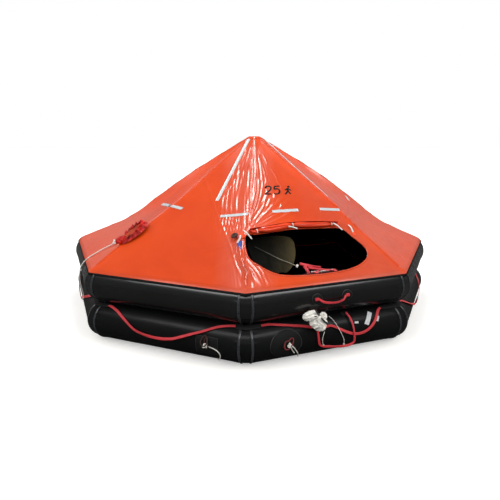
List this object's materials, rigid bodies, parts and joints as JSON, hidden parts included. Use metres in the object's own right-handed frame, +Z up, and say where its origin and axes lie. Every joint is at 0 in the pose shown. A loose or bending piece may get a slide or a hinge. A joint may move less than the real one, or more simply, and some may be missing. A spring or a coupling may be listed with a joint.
{
  "type": "life raft",
  "caption": "Inflatable octagonal life raft: stacked black buoyancy tubes under an orange tent canopy, with a rolled front door, lifelines and boarding straps.",
  "frame": {"origin": "on the floor under the middle of the raft", "axes": "+Z up, -Y through the front corner beside the entrance, +X to the raft's right seen from the front"},
  "size_m": [4.3952, 4.3952, 1.984],
  "materials": {
    "tube_rubber": "black coated fabric, soft gloss",
    "canopy_fabric": "orange coated fabric, wrinkled and glossy",
    "red_webbing": "red woven webbing",
    "port_fabric": "dark red gathered fabric",
    "white_cord": "white braided line",
    "white_bag": "white coated fabric",
    "lining_fabric": "dark olive coated fabric",
    "floor_fabric": "black coated fabric, matt",
    "bottle_metal": "painted steel",
    "valve_metal": "satin brass"
  },
  "bodies": {
    "raft": {"lower_tube": "tube_rubber", "upper_tube": "tube_rubber", "canopy_panel_0": "canopy_fabric", "canopy_panel_1": "canopy_fabric", "canopy_panel_2": "canopy_fabric", "canopy_panel_3": "canopy_fabric", "canopy_panel_4": "canopy_fabric", "canopy_panel_5": "canopy_fabric", "canopy_panel_6": "canopy_fabric", "canopy_panel_7": "canopy_fabric", "canopy_top": "canopy_fabric", "front_door_roll": "canopy_fabric", "front_door_tie_left": "white_cord", "front_door_tie_middle": "white_cord", "front_door_tie_right": "white_cord", "inner_curtain": "lining_fabric", "arch_tube": "tube_rubber", "floor": "floor_fabric", "gas_cylinder": "bottle_metal", "cylinder_valve": "valve_metal", "ballast_pocket_front": "lining_fabric", "ballast_pocket_right": "lining_fabric", "ballast_pocket_rear": "lining_fabric", "ballast_pocket_left": "lining_fabric", "righting_strap": "red_webbing", "lifeline": "red_webbing", "inner_lifeline": "red_webbing", "front_handle": "red_webbing", "rear_handle": "red_webbing", "front_ladder": "red_webbing", "rear_ladder": "red_webbing", "inner_ladder": "red_webbing", "inner_line": "white_cord", "line_bag": "white_bag", "bag_cord_long": "white_cord", "bag_cord_short": "white_cord", "tow_ring_left": "port_fabric", "tow_ring_right": "port_fabric", "tow_cord_left": "white_cord", "tow_cord_right": "white_cord", "lookout_port": "port_fabric", "lookout_cord": "white_cord", "relief_valve_upper": "tube_rubber", "relief_valve_lower": "tube_rubber"},
    "rear_door": {"rear_door": "canopy_fabric"}
  },
  "joints": [
    {"name": "rear_door_hinge", "type": "hinge", "parent": "raft", "child": "rear_door", "pos_m": [-0.52627, 1.27052, 1.13347], "axis": [0.9239, 0.3827, 0], "range_deg": [0, 80]}
  ]
}
